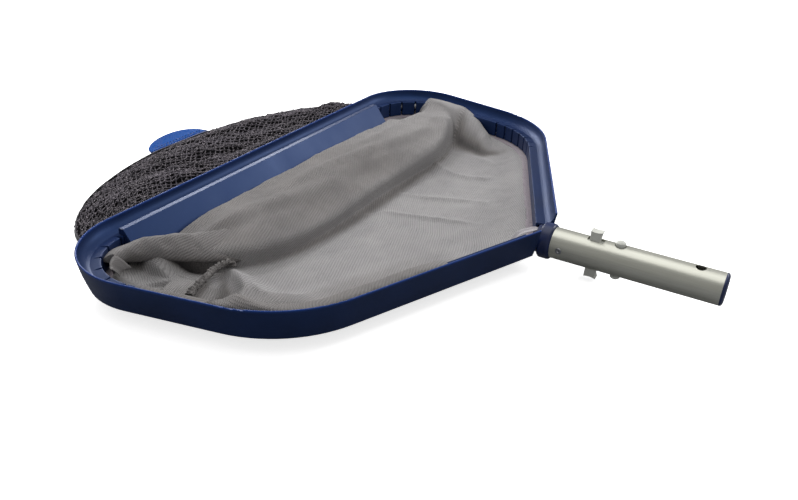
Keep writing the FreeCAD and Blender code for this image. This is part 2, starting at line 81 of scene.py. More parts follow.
def lattice_noise(x, y, size, seed):
    """Smooth noise from -1 to 1 with features about size across."""
    table = np.random.default_rng(seed).uniform(-1, 1, (NOISE_TABLE, NOISE_TABLE))
    gx, gy = np.asarray(x) / size + NOISE_ORIGIN, np.asarray(y) / size + NOISE_ORIGIN
    ix, iy = np.floor(gx).astype(int), np.floor(gy).astype(int)
    fx, fy = gx - ix, gy - iy
    fx, fy = fx * fx * (3 - 2 * fx), fy * fy * (3 - 2 * fy)

    def corner(a, b):
        return table[(ix + a) % NOISE_TABLE, (iy + b) % NOISE_TABLE]

    low = corner(0, 0) * (1 - fx) + corner(1, 0) * fx
    high = corner(0, 1) * (1 - fx) + corner(1, 1) * fx
    return low * (1 - fy) + high * fy


def streaks(x, y, angle, length, width, seed):
    """Noise drawn out along a direction, as soft pull lines in cloth are."""
    a = math.radians(angle)
    along = x * math.cos(a) + y * math.sin(a)
    across = -x * math.sin(a) + y * math.cos(a)
    return lattice_noise(along / length * width, across, width, seed)


def rim_line(step=1.0):
    """Points along the outer lip from one neck end to the other, with the inward direction at each."""
    rear_heading = math.atan2(*(REAR_APEX - NECK_APEX)[::-1])
    side_heading = math.atan2(*(FRONT_APEX - REAR_APEX)[::-1])
    rear_turn, front_turn = side_heading - rear_heading, 1.5 * math.pi - side_heading
    rear_cut = REAR_CORNER_R * math.tan(rear_turn / 2)
    front_cut = FRONT_CORNER_R * math.tan(front_turn / 2)
    along = (RIM_END_Y - NECK_APEX[1]) / math.sin(rear_heading)
    half = [
        (np.linalg.norm(REAR_APEX - NECK_APEX) - along - rear_cut, 0.0),
        (REAR_CORNER_R * rear_turn, 1 / REAR_CORNER_R),
        (np.linalg.norm(FRONT_APEX - REAR_APEX) - rear_cut - front_cut, 0.0),
        (FRONT_CORNER_R * front_turn, 1 / FRONT_CORNER_R),
    ]
    moves = half + [(2 * (FRONT_APEX[1] - front_cut), 0.0)] + half[::-1]
    point, heading = NECK_APEX + heading_vector(rear_heading) * along, rear_heading
    points, inwards = [point], [heading_vector(heading + math.pi / 2)]
    for length, bend in moves:
        count = max(2, int(round(length / step)))
        for _ in range(count):
            heading += bend * length / count / 2
            point = point + heading_vector(heading) * length / count
            heading += bend * length / count / 2
            points.append(point)
            inwards.append(heading_vector(heading + math.pi / 2))
    return np.array(points), np.array(inwards)


def inset_line(inset):
    points, inwards = rim_line()
    return points + inwards * inset


def resampled(points, count):
    points = np.asarray(points, float)
    steps = np.linalg.norm(np.diff(points, axis=0), axis=1)
    at = np.concatenate(([0], np.cumsum(steps)))
    wanted = np.linspace(0, at[-1], count)
    return np.column_stack([np.interp(wanted, at, points[:, k]) for k in range(points.shape[1])])


def smooth_curve(points, count):
    """A Catmull-Rom curve through the points, evenly sampled."""
    p = np.asarray(points, float)
    p = np.vstack([2 * p[0] - p[1], p, 2 * p[-1] - p[-2]])
    fine = []
    for i in range(1, len(p) - 2):
        for t in np.linspace(0, 1, CURVE_STEPS, endpoint=False):
            a, b, c, d = p[i - 1], p[i], p[i + 1], p[i + 2]
            fine.append(0.5 * (2 * b + (c - a) * t + (2 * a - 5 * b + 4 * c - d) * t ** 2
                               + (3 * b - a - 3 * c + d) * t ** 3))
    fine.append(p[-2])
    return resampled(fine, count)


def make_piece(name, verts_mm, faces, body="frame"):
    mesh = bpy.data.meshes.new(name)
    mesh.from_pydata((np.asarray(verts_mm) * MM).tolist(), [], faces)
    mesh.validate()
    mesh.update()
    mesh.shade_smooth()
    piece = bpy.data.objects.new(name, mesh)
    bpy.context.scene.collection.objects.link(piece)
    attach(piece, body)
    return piece


def grid_faces(rows, columns, wrap=False):
    faces = []
    for i in range(rows - 1):
        for j in range(columns if wrap else columns - 1):
            k = (j + 1) % columns
            faces.append((i * columns + j, i * columns + k, (i + 1) * columns + k, (i + 1) * columns + j))
    return faces


def grid_uv(piece, grid):
    """UVs in millimetres of cloth, measured along the sheet, so that a weave doesn't stretch."""
    rows, columns, _ = grid.shape
    du = np.linalg.norm(np.diff(grid, axis=1), axis=2)
    dv = np.linalg.norm(np.diff(grid, axis=0), axis=2)
    u = np.concatenate([np.zeros((rows, 1)), np.cumsum(du, axis=1)], axis=1)
    u -= u[:, columns // 2][:, None]
    v = np.concatenate([np.zeros((1, columns)), np.cumsum(dv, axis=0)], axis=0)
    v -= v[rows // 2][None, :]
    layer = piece.data.uv_layers.new(name="cloth")
    loops = np.zeros(len(piece.data.loops), np.int32)
    piece.data.loops.foreach_get("vertex_index", loops)
    flat = np.column_stack([u.ravel(), v.ravel()])[loops]
    layer.data.foreach_set("uv", flat.astype(np.float32).ravel())


def dress(piece, look):
    piece.data.materials.append(look)


def sheet_piece(name, grid, look, thickness=0.0, wrap=False):
    """A sheet over a grid of points in millimetres, with cloth UVs, a look and a thickness."""
    rows, columns, _ = grid.shape
    piece = make_piece(name, grid.reshape(-1, 3), grid_faces(rows, columns, wrap))
    grid_uv(piece, grid)
    if thickness:
        add_modifier(piece, "SOLIDIFY", thickness=thickness * MM, offset=0)
    dress(piece, look)
    return piece


def set_attribute(piece, name, values):
    attribute = piece.data.attributes.new(name, "FLOAT", "POINT")
    attribute.data.foreach_set("value", np.asarray(values, np.float32).ravel())


def add_modifier(piece, kind, **settings):
    modifier = piece.modifiers.new(kind.lower(), kind)
    for key, value in settings.items():
        setattr(modifier, key, value)
    return modifier


# ---- materials ---------------------------------------------------------------------------------

# Where the Mix node keeps its factor and its two colours, and its mixed colour.
MIX_COLOUR_INPUTS = (0, 6, 7)
MIX_COLOUR_OUTPUT = 2


class Shader:
    """A node material with short ways to add and join nodes."""

    def __init__(self, name):
        self.material = bpy.data.materials.new(name)
        self.material.use_nodes = True
        self.nodes = self.material.node_tree.nodes
        self.links = self.material.node_tree.links
        self.surface = self.nodes["Principled BSDF"]

    def node(self, kind, inputs=None, **settings):
        node = self.nodes.new("ShaderNode" + kind)
        for key, value in settings.items():
            setattr(node, key, value)
        for key, value in (inputs or {}).items():
            self.put(node.inputs[key], value)
        return node

    def put(self, socket, value):
        if isinstance(value, bpy.types.NodeSocket):
            self.links.new(value, socket)
        elif isinstance(value, bpy.types.Node):
            self.links.new(value.outputs[0], socket)
        else:
            socket.default_value = value

    def set(self, **values):
        for key, value in values.items():
            self.put(self.surface.inputs[key.replace("_", " ")], value)

    def math(self, operation, a, b=0.0):
        return self.node("Math", {0: a, 1: b}, operation=operation).outputs[0]

    def blend(self, factor, a, b, mode="MIX"):
        node = self.node("Mix", data_type="RGBA", blend_type=mode)
        for index, value in zip(MIX_COLOUR_INPUTS, (factor, a, b)):
            self.put(node.inputs[index], value)
        return node.outputs[MIX_COLOUR_OUTPUT]

    def remap(self, value, low, high, to_low=0.0, to_high=1.0):
        inputs = {"Value": value, "From Min": low, "From Max": high, "To Min": to_low, "To Max": to_high}
        return self.node("MapRange", inputs).outputs["Result"]

    def noise(self, vector, scale, detail=3.0, roughness=0.5):
        inputs = {"Vector": vector, "Scale": scale, "Detail": detail, "Roughness": roughness}
        return self.node("TexNoise", inputs).outputs["Fac"]

    def place(self, scale=(1, 1, 1)):
        """Object coordinates, stretched."""
        coordinates = self.node("TexCoord").outputs["Object"]
        return self.node("Mapping", {"Vector": coordinates, "Scale": scale}).outputs["Vector"]

    def bump(self, height, distance, strength=1.0, normal=None):
        inputs = {"Height": height, "Distance": distance, "Strength": strength}
        if normal is not None:
            inputs["Normal"] = normal
        self.set(Normal=self.node("Bump", inputs).outputs["Normal"])

    def rounded_edges(self, radius):
        return self.node("Bevel", {"Radius": radius}, samples=4).outputs["Normal"]


def color(r, g, b):
    """Linear colour from the 0 to 255 values that a screen shows."""
    shown = [c / 255 for c in (r, g, b)]
    return tuple(c / 12.92 if c <= 0.04045 else ((c + 0.055) / 1.055) ** 2.4 for c in shown) + (1.0,)


def rim_plastic():
    """Navy extruded plastic: satin gloss, flow lines, scuffs, and a painted highlight of brighter blue on
    the thin lip.
    """
    s = Shader("rim_plastic")
    height = s.node("SeparateXYZ", {"Vector": s.place()}).outputs["Z"]
    # Painted highlight: above 16.5 mm the rim is painted a brighter blue, as the lip's top catches the
    # light.
    lip = s.remap(height, 0.0165, 0.019)
    cloud = s.noise(s.place(), 26.0, 4.0)
    body = s.blend(s.remap(cloud, 0.3, 0.7), color(19, 31, 60), color(25, 40, 76))
    body = s.blend(s.math("MULTIPLY", lip, 0.6), body, color(28, 58, 132))
    scuffs = s.remap(s.noise(s.place((1, 1, 0.2)), 420.0, 5.0, 0.7), 0.6, 0.75)
    body = s.blend(s.math("MULTIPLY", scuffs, 0.08), body, color(84, 104, 150))
    edges = s.rounded_edges(0.0006)
    lines = s.noise(s.place((1, 1, 30)), 60.0, 2.0)
    grain = s.noise(s.place(), 1800.0, 2.0)
    height_map = s.math("ADD", s.math("MULTIPLY", lines, 0.5), s.math("MULTIPLY", grain, 0.2))
    s.bump(height_map, 0.00012, 0.5, edges)
    s.set(Base_Color=body, Roughness=s.remap(cloud, 0.2, 0.8, 0.38, 0.48), Specular_IOR_Level=0.75)
    s.set(Specular_Tint=color(112, 156, 240))
    return s.material


def moulded_plastic(name, dark, light, roughness, pebble=900.0):
    """Injection-moulded plastic with a fine spark-eroded texture and softened edges."""
    s = Shader(name)
    cloud = s.noise(s.place(), 55.0, 4.0)
    s.set(Base_Color=s.blend(s.remap(cloud, 0.3, 0.7), dark, light))
    grain = s.noise(s.place(), pebble, 3.0, 0.6)
    s.bump(grain, 0.00015, 0.35, s.rounded_edges(0.0005))
    s.set(Roughness=s.remap(grain, 0.3, 0.7, roughness - 0.05, roughness + 0.08), IOR=1.48)
    return s.material


def anodised_tube():
    """Satin anodised aluminium: lengthwise drawing lines, a warm tint, rub marks from the pole."""
    s = Shader("tube_aluminium")
    lines = s.noise(s.place((4, 260, 260)), 9.0, 4.0, 0.6)
    fine = s.noise(s.place((12, 900, 900)), 9.0, 2.0)
    rub = s.remap(s.noise(s.place((1, 5, 5)), 30.0, 5.0, 0.65), 0.58, 0.75)
    tint = s.blend(s.remap(lines, 0.3, 0.7), color(190, 190, 178), color(206, 206, 196))
    tint = s.blend(s.math("MULTIPLY", rub, 0.25), tint, color(214, 214, 208))
    s.set(Base_Color=tint, Metallic=0.8, Anisotropic=0.45)
    s.set(Roughness=s.remap(lines, 0.25, 0.75, 0.3, 0.42))
    s.bump(s.math("ADD", lines, s.math("MULTIPLY", fine, 0.4)), 0.00006, 0.35, s.rounded_edges(0.0003))
    return s.material


def bare_aluminium(name, roughness):
    s = Shader(name)
    mottle = s.noise(s.place(), 300.0, 4.0, 0.6)
    s.set(Base_Color=s.blend(mottle, color(150, 152, 156), color(186, 187, 190)), Metallic=1.0)
    s.set(Roughness=s.remap(mottle, 0.3, 0.7, roughness, roughness + 0.18))
    s.bump(mottle, 0.0001, 0.3, s.rounded_edges(0.0002))
    return s.material


KNIT_PITCH = (2.2, 1.7)
KNIT_TURN = -28.0
TAPE_PITCH = 0.9


def knit(s, pitch_u, pitch_v, turn=0.0):
    """Height of a knitted mesh over cloth millimetres: wales along v, courses across, holes between."""
    cloth = s.node("UVMap", uv_map="cloth").outputs["UV"]
    turned = s.node("Mapping", {"Vector": cloth, "Rotation": (0, 0, turn)}).outputs["Vector"]
    uv = s.node("SeparateXYZ", {"Vector": turned})
    wales = s.math("SINE", s.math("MULTIPLY", uv.outputs["X"], 2 * math.pi / pitch_u))
    courses = s.math("SINE", s.math("MULTIPLY", uv.outputs["Y"], 2 * math.pi / pitch_v))
    both = s.math("MULTIPLY", wales, courses)
    return s.math("ADD", s.math("MULTIPLY", wales, 0.55), s.math("MULTIPLY", both, 0.6))


def fine_mesh():
    """Fine warm-grey knitted mesh, darker where the tone attribute is raised: over the raised panel, and
    with painted shade in creases and hollows where tone goes above 1.
    """
    s = Shader("fine_mesh")
    height = knit(s, *KNIT_PITCH, math.radians(KNIT_TURN))
    cloud = s.noise(s.place(), 22.0, 4.0)
    tone = s.node("Attribute", attribute_name="tone").outputs["Fac"]
    bright = s.blend(s.remap(cloud, 0.3, 0.7), color(142, 140, 141), color(156, 154, 154))
    deep = s.blend(s.remap(cloud, 0.3, 0.7), color(104, 101, 100), color(120, 116, 114))
    yarn = s.blend(s.remap(tone, 0.0, 1.0), bright, deep)
    # Tone from 1 to 2 blends to near black: painted shade in creases and hollows.
    yarn = s.blend(s.remap(tone, 1.0, 2.0), yarn, color(20, 19, 21))
    holes = s.remap(height, -1.1, 0.2)
    hole_shade = s.math("MULTIPLY", s.math("SUBTRACT", 1.0, holes), 0.5)
    s.set(Base_Color=s.blend(hole_shade, yarn, color(58, 55, 56)))
    fuzz = s.noise(s.place(), 2600.0, 2.0)
    s.bump(s.math("ADD", height, s.math("MULTIPLY", fuzz, 0.5)), 0.0005, 0.8)
    s.set(Roughness=0.9, Sheen_Weight=0.12, Sheen_Roughness=0.5, Specular_IOR_Level=0.2)
    return s.material


def shaded_lining():
    """The fine mesh inside the coarse net, its colour painted near black as the shade it lies in."""
    s = Shader("shaded_mesh")
    height = knit(s, *KNIT_PITCH)
    s.set(Base_Color=s.blend(s.remap(height, -1.0, 1.0), color(8, 8, 9), color(30, 29, 31)))
    s.bump(height, 0.0005, 0.6)
    s.set(Roughness=1.0, Specular_IOR_Level=0.0)
    return s.material


def net_strand():
    """Charcoal knotted cord with flecks of worn lighter fibre."""
    s = Shader("coarse_net")
    fleck = s.noise(s.place(), 900.0, 4.0, 0.7)
    patch = s.noise(s.place(), 30.0, 3.0)
    base = s.blend(s.remap(patch, 0.3, 0.7), color(24, 24, 28), color(66, 63, 70))
    s.set(Base_Color=s.blend(s.remap(fleck, 0.50, 0.64), base, color(156, 148, 154)))
    twist = s.node("TexWave", {"Vector": s.place(), "Scale": 420.0, "Distortion": 6.0, "Detail": 2.0})
    s.bump(s.math("ADD", twist.outputs["Fac"], fleck), 0.0003, 0.7)
    s.set(Roughness=0.9, Sheen_Weight=0.05, Specular_IOR_Level=0.2)
    return s.material


def woven_tape(name, dark, light):
    """Plain narrow-woven tape: over-and-under picks in cloth millimetres."""
    s = Shader(name)
    height = knit(s, TAPE_PITCH, TAPE_PITCH)
    fuzz = s.noise(s.place(), 1500.0, 3.0)
    cover = s.remap(s.math("ADD", height, fuzz), -0.6, 1.2)
    s.set(Base_Color=s.blend(cover, dark, light), Roughness=0.82, Sheen_Weight=0.3)
    s.bump(s.math("ADD", height, s.math("MULTIPLY", fuzz, 0.6)), 0.0003, 0.6)
    return s.material


def thread_fibre(name, base):
    """Twisted thread."""
    s = Shader(name)
    twist = s.node("TexWave", {"Vector": s.place(), "Scale": 900.0, "Distortion": 2.0})
    s.set(Base_Color=s.blend(twist.outputs["Fac"], base, tuple(c * 0.6 for c in base[:3]) + (1.0,)))
    s.bump(twist.outputs["Fac"], 0.0002, 0.6)
    s.set(Roughness=0.7, Sheen_Weight=0.2)
    return s.material


def tab_rubber():
    """Bright blue flexible plastic, slightly translucent, with a faint leather-like press."""
    s = Shader("tab_plastic")
    cells = s.node("TexVoronoi", {"Vector": s.place(), "Scale": 700.0}).outputs["Distance"]
    cloud = s.noise(s.place(), 60.0, 3.0)
    s.set(Base_Color=s.blend(cloud, color(0, 52, 118), color(4, 70, 142)), Specular_IOR_Level=0.05)
    s.bump(cells, 0.0002, 0.3, s.rounded_edges(0.0004))
    s.set(Roughness=s.remap(cloud, 0.3, 0.7, 0.5, 0.62), Subsurface_Weight=0.1, Subsurface_Scale=0.002)
    return s.material


def pale_floor():
    """White sweep: bright to the camera, quieter in reflections so that the navy rim stays dark."""
    s = Shader("floor")
    grain = s.noise(s.place(), 90.0, 3.0)
    seen = s.node("LightPath").outputs["Is Camera Ray"]
    pale = s.blend(grain, color(247, 247, 247), color(250, 250, 250))
    s.set(Base_Color=s.blend(seen, color(120, 121, 124), pale), Roughness=0.8, Specular_IOR_Level=0.0)
    s.set(Emission_Color=(1, 1, 1, 1), Emission_Strength=s.math("MULTIPLY", seen, 0.7))
    return s.material


def dress_frame():
    """Materials for the pieces that are shown as the CAD made them."""
    navy = moulded_plastic("collar_plastic", color(16, 27, 62), color(24, 40, 84), 0.33)
    grey = moulded_plastic("clip_plastic", color(186, 187, 180), color(204, 205, 198), 0.45)
    rim = rim_plastic()
    looks = {
        "rim_profile": rim,
        "front_bar_cover": rim,
        "neck_yoke": navy,
        "handle_end_bush": navy,
        "handle_tube": anodised_tube(),
        "neck_rivet": bare_aluminium("rivet_aluminium", 0.3),
        "frame_rod": bare_aluminium("rod_aluminium", 0.35),
        "clip_bridge": grey,
        "clip_arm_upper": grey,
        "clip_arm_lower": grey,
        "hem_cord": thread_fibre("cord", color(190, 188, 182)),
    }
    for node, look in looks.items():
        materials = frame["nodes"][node].data.materials
        materials.clear()
        materials.append(look)


# ---- inner net ---------------------------------------------------------------------------------

NET_EDGE_INSET = 23.5
NET_EDGE_Z = RIM_BOTTOM - 1.9
FLOOR_Z = GROUND + 4.8
LOWEST_Z = GROUND + 2.4
PANEL_RISE = 29.0
FIELD_START = 27.0
EDGE_REACH = 50.0
SEAM_SAG = 18.0
FRONT_HALF = 212.0

# The cloth's way in from the hem: distance in plan from its edge, inset from the lip, height. Along the
# front bar it comes out under the cover and stands up in front of it. Along the near side, and for a short
# way on the far side, it is heaped over the ledge.
PLAIN_EDGE = (
    (0, 23.5, -11.4),
    (6, 30, -12.6),
    (14, 39, -16),
    (26, 50, -18.6),
    (50, 73.5, -20),
)
FRONT_EDGE = (
    (0, 23.5, -11.4),
    (5, 29, -11.8),
    (10, 34.8, -11),
    (13, 36.2, -5),
    (16.5, 37.6, 0.5),
    (21, 41.5, 3.8),
    (28, 49, 4.6),
    (38, 61, 4.0),
    (50, 73.5, 3.0),
)
HEAPED_EDGE = (
    (0, 23.5, -11.4),
    (4, 22.2, -4),
    (8, 20.8, 4.4),
    (12, 16.4, 10),
    (16.5, 9.6, 11.4),
    (19.5, 7.6, 12.8),
    (23, 11.5, 13.8),
    (29, 23, 10.5),
    (36, 37, 1),
    (43, 52, -11),
    (50, 73.5, -20.5),
)

# Where along the hem each kind of edge lies, as a share of its length from one neck end to the other.
NEAR_HEAP_START = (0.716, 0.744)
NEAR_HEAP_END = (0.915, 0.985)
FAR_HEAP_START = (0.175, 0.25)
FAR_HEAP_END = (0.285, 0.305)
FAR_HEAP_SIZE = 0.95
SAG_START = (0.69, 0.715)
SAG_END = (0.745, 0.80)
SLOPE_START = (0.70, 0.76)
SLOPE_END = (0.90, 0.985)

# The raised panel's edge, from the near front corner round the valley to the far front corner: x, y, and
# how far the cloth takes to rise behind the edge.
PANEL_EDGE = (
    (-270, -262, 4),
    (-286, -242, 4),
    (-290, -224, 4),
    (-284, -208, 4),
    (-266, -192, 5),
    (-246, -178, 6),
    (-226, -158, 10),
    (-212, -126, 22),
    (-206, -70, 30),
    (-205, 0, 28),
    (-205, 60, 20),
    (-202, 110, 12),
    (-200, 150, 7),
    (-206, 188, 5),
    (-218, 212, 4),
    (-246, 232, 4),
    (-282, 246, 4),
)

# Ridges in the lower cloth: points (x, y), height, and half width.
RIDGES = (
    (((-232, -180), (-233, -196), (-231, -212), (-229, -232)), 7.0, 3.0),
    (((-234, -176), (-216, -178), (-193, -188), (-166, -192), (-134, -168), (-108, -126)), 9.0, 8.0),
    (((-200, -22), (-185, -2), (-163, 6), (-124, 18), (-84, 32)), 2.6, 3.6),
    (((-200, 62), (-188, 54), (-166, 53), (-127, 71), (-84, 84)), 2.2, 4.0),
    (((-212, 166), (-194, 146), (-161, 129), (-130, 136), (-114, 166), (-117, 204)), 2.8, 5.0),
    (((-276, -226), (-252, -216), (-238, -212), (-214, -222)), 5.0, 7.0),
    (((-178, 236), (-150, 222), (-124, 204), (-102, 180)), 13.0, 8.0),
    (((-160, 190), (-138, 186), (-116, 176)), 5.0, 6.0),
)

# Folds in the cloth heaped along the near side.
NEAR_FOLDS = (
    (((-228, -176), (-206, -189), (-185, -204), (-167, -214), (-146, -216)), 8.0, 5.0),
    (((-290, -246), (-262, -232), (-240, -222)), 4.0, 5.0),
    (((-262, -262), (-236, -246), (-214, -240)), 3.5, 5.0),
    (((-150, -232), (-116, -206), (-84, -168), (-60, -130)), 2.5, 6.0),
)

# The crest along the panel's far edge.
PANEL_CREST = (((-286, 240), (-252, 225), (-219, 203), (-208, 184), (-206, 150)), 7.0, 8.0)

# Creases given painted shade, dark in the cloth's colour: points (x, y), strength, and half width.
SHADE_PAINTED_CREASES = (
    (((-300, -222), (-290, -208), (-274, -196), (-252, -186), (-232, -180)), 1.6, 6.0),
    (((-216, -146), (-206, -110), (-198, -54), (-196, 14), (-196, 95), (-194, 150), (-204, 206)), 1.1, 6.0),
    (((-222, 228), (-206, 212), (-186, 207), (-160, 206), (-140, 218)), 1.6, 6.0),
    (((-232, -178), (-233, -196), (-226, -214), (-212, -236)), 0.7, 3.0),
    (((-230, -184), (-214, -199), (-194, -214), (-176, -228)), 0.9, 4.0),
)

# Hollows: points (x, y), depth, and half width.
HOLLOWS = (
    (((-292, -214), (-276, -196), (-252, -186), (-236, -182)), 4.0, 5.0),
    (((-212, -140), (-200, -100), (-192, -40), (-190, 20), (-192, 80), (-188, 140)), 3.0, 7.0),
    (((-204, 216), (-186, 208), (-160, 205), (-140, 214)), 5.0, 7.0),
)

# The near corner's heavy roll, from the near wall to where it dies out in the panel: crest and lower lip.
ROLL_CREST = (
    (-281, -256, 6),
    (-287, -250, 8),
    (-291, -240, 8.5),
    (-293, -220, 8),
    (-289, -205, 8),
    (-276, -191, 7.5),
    (-262, -176, 7),
    (-252, -156, 6),
    (-244, -128, 3),
    (-238, -100, -2),
)
ROLL_LIP = (
    (-281, -254, 4),
    (-289, -247, 1),
    (-294, -238, -3),
    (-296, -227, -6),
    (-284, -211, -8),
    (-264, -197, -9),
    (-243, -184, -10),
    (-228, -166, -13),
    (-220, -134, -17),
    (-216, -104, -21),
)
ROLL_BACK = 20.0
ROLL_TUCK = 11.0
ROLL_GROWTH = 24
PANEL_SIDE = np.array((-330.0, -100.0))

# The gathered seam, from the knot in the cloth up to the near wall.
SEAM_LINE = (
    (-226, -172, -13),
    (-230, -176, -9.5),
    (-230, -186, -8),
    (-225, -201, -4.5),
    (-217, -217, 0),
    (-208, -236, 5),
    (-199, -254, 9),
)
SEAM_TURNS = 9
SEAM_CORD_RADIUS = 1.7
SEAM_TWIST_RADIUS = 1.5
SEAM_ROUGHNESS = 0.3
CLOTH_THICKNESS = 0.5

MOUTH_SIDE_MARGIN = 0.4
MOUTH_ROW_CROWDING = 0.94
PANEL_SAMPLES = 900
FOLD_SAMPLES = 200
EDGE_SAMPLES = 300
TINY = 1e-9


def nearest_on(line, points):
    """Distance from each point to the line's samples, and the nearest sample's index."""
    tree = kdtree.KDTree(len(line))
    for i, p in enumerate(line):
        tree.insert((p[0], p[1], 0), i)
    tree.balance()
    found = [tree.find((x, y, 0)) for x, y in points]
    return np.array([f[2] for f in found]), np.array([f[1] for f in found])


def mouth_grid(inset, rows, columns):
    """Plan points over the mouth: rows across the width, each from the front edge to the rear edge."""
    line = inset_line(inset)
    closed = np.vstack([line, line[:1]])
    top = line[:, 1].max() - MOUTH_SIDE_MARGIN
    angles = np.linspace(-math.pi / 2, math.pi / 2, rows) * MOUTH_ROW_CROWDING
    ys = top * np.sin(angles) / math.sin(angles[-1])
    grid = np.zeros((rows, columns, 2))
    for i, y in enumerate(ys):
        a, b = closed[:-1], closed[1:]
        hit = (a[:, 1] - y) * (b[:, 1] - y) <= 0
        a, b = a[hit], b[hit]
        climb = b[:, 1] - a[:, 1]
        t = (y - a[:, 1]) / np.where(np.abs(climb) < TINY, TINY, climb)
        xs = a[:, 0] + (b[:, 0] - a[:, 0]) * np.clip(t, 0, 1)
        grid[i, :, 0] = np.linspace(xs.min(), xs.max(), columns)
        grid[i, :, 1] = y
    return grid


def signed_panel(points):
    """Distance inside the panel's edge (negative outside), the rise length, the outward direction."""
    edge = smooth_curve(PANEL_EDGE, PANEL_SAMPLES)
    distance, index = nearest_on(edge, points)
    tangent = unit(np.gradient(edge[:, :2], axis=0))
    outward = np.column_stack([tangent[:, 1], -tangent[:, 0]])[index]
    side = ((points - edge[index, :2]) * outward).sum(1)
    return np.where(side > 0, -distance, distance), edge[index, 2], outward


def fold_height(points, folds, power):
    """Sum of soft ridges along the given lines."""
    total = np.zeros(len(points))
    for line, height, half_width in folds:
        distance, index = nearest_on(smooth_curve(line, FOLD_SAMPLES), points)
        ends = np.sin(np.clip(index / (FOLD_SAMPLES - 1), 0.02, 0.98) * math.pi) ** 0.5
        total += height * ends * np.exp(-(distance / half_width) ** power)
    return total


def net_height(x, y):
    """Height of the crumpled inner net inside the border, and its place relative to the raised panel."""
    points = np.column_stack([x, y])
    inside, rise_length, outward = signed_panel(points)
    z = FLOOR_Z + 0.8 * lattice_noise(x, y, 70, 3) + 0.7 * streaks(x, y, 62, 110, 14, 5)
    behind = np.clip(inside, 0, None)
    rise = 0.42 * (1 - np.exp(-behind / 4.5)) + 0.58 * (1 - np.exp(-behind / rise_length))
    near_end = smoothstep(-y, 120, 200)
    panel = PANEL_RISE * rise * (1 - 0.26 * near_end)
    panel += rise * (4.6 * streaks(x, y, 97, 170, 34, 11) + 3.0 * streaks(x, y, 78, 100, 15, 12))
    panel += rise * (0.7 * streaks(x, y, 110, 60, 7, 13))
    panel += fold_height(points, (PANEL_CREST,), 2.0)
    z += np.where(inside > 0, panel, 0)
    outside = smoothstep(-inside, -2, 2)
    z += fold_height(points, RIDGES, 1.6) * outside - fold_height(points, HOLLOWS, 2.0) * outside
    z += 0.3 * lattice_noise(x, y, 9, 21) + 0.15 * lattice_noise(x, y, 4.5, 22)
    return z, inside, outward


def edge_course(profile, distance):
    """Inset and height on an edge profile, at each distance from the hem."""
    fine = smooth_curve(profile, EDGE_SAMPLES)
    return np.interp(distance, fine[:, 0], fine[:, 1]), np.interp(distance, fine[:, 0], fine[:, 2])


def between(share, start, end):
    """1 between two places along the hem and 0 outside them, with a soft change at each."""
    return smoothstep(share, *start) * (1 - smoothstep(share, *end))


def border_course(y, distance, share, count):
    """Inset and height of the border cloth, by where it lies round the rim."""
    front = 1 - smoothstep(np.abs(share - 0.5) * count, FRONT_HALF - 10, FRONT_HALF + 14)
    heaped = between(share, NEAR_HEAP_START, NEAR_HEAP_END)
    heaped = heaped + FAR_HEAP_SIZE * between(share, FAR_HEAP_START, FAR_HEAP_END)
    lift = 1 - 0.5 * smoothstep(-y, 130, 190) - 0.3 * smoothstep(y, 80, 180)
    inset, height = edge_course(PLAIN_EDGE, distance)
    for weight, profile, rise in ((front, FRONT_EDGE, lift), (heaped, HEAPED_EDGE, 1.0)):
        u, z = edge_course(profile, distance)
        z = PLAIN_EDGE[0][2] + (z - PLAIN_EDGE[0][2]) * rise
        inset, height = inset + (u - inset) * weight, height + (z - height) * weight
    return inset, height


def inner_net():
    """The fine mesh in the mouth: one sheet from the hem, over the border and across the raised panel."""
    rows, columns = 420, 230
    plan = mouth_grid(NET_EDGE_INSET, rows, columns)
    x, y = plan[..., 0].ravel(), plan[..., 1].ravel()
    border, inwards = inset_line(NET_EDGE_INSET), rim_line()[1]
    flat = np.column_stack([x, y])
    distance, index = nearest_on(border, flat)
    z, inside, outward = net_height(x, y)
    share = index / len(border)
    inset, height = border_course(y, distance, share, len(border))
    loose = np.clip(distance / 14, 0, 1)
    height += loose * (0.9 * lattice_noise(x, y, 22, 61) + 0.5 * lattice_noise(x, y, 8, 62))
    field = smoothstep(distance, FIELD_START, EDGE_REACH)
    sag = SEAM_SAG * smoothstep(distance, 14, 30) * between(share, SAG_START, SAG_END)
    z = np.maximum(height - sag + (z - height + sag) * field, LOWEST_Z)
    z += fold_height(flat, NEAR_FOLDS, 1.8) * smoothstep(distance, 10, 26)
    shift = (inset - NET_EDGE_INSET - distance) * (1 - smoothstep(distance, EDGE_REACH - 4, EDGE_REACH))
    roll = smoothstep(-y, 150, 200) * smoothstep(distance, 6, 30)
    pull = (8.0 + 2.0 * roll) * np.exp(-((inside - 7) / 6) ** 2) * smoothstep(distance, 10, 34)
    x = x + outward[:, 0] * pull + inwards[index, 0] * shift
    y = y + outward[:, 1] * pull + inwards[index, 1] * shift
    grid = np.column_stack([x, y, z]).reshape(rows, columns, 3)
    look = fine_mesh()
    piece = sheet_piece("inner_net_mouth", grid, look, CLOTH_THICKNESS)
    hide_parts("inner_net")
    # The tone darkens the cloth over the raised panel, less so towards its far end. Painted shade: along
    # the valley just outside the panel's edge, on the cloth along the near side out to about 60 mm from the
    # hem, and from the listed creases, which take tone above 1.
    valley_painted_shade = np.exp(-((inside + 3) / 5) ** 2) * smoothstep(distance, 12, 40)
    near_side_painted_shade = (1 - smoothstep(distance, 34, 62)) * between(share, SLOPE_START, SLOPE_END)
    tone = smoothstep(inside, -2, 14) * (0.85 - 0.3 * smoothstep(y, 60, 160)) + 0.9 * near_side_painted_shade + 0.3 * valley_painted_shade
    tone = np.clip(tone, 0, 1) + fold_height(flat, SHADE_PAINTED_CREASES, 2.0)
    set_attribute(piece, "tone", np.clip(tone, 0, 1.9))
    inner_net_roll(look)
    knot_seam(look)


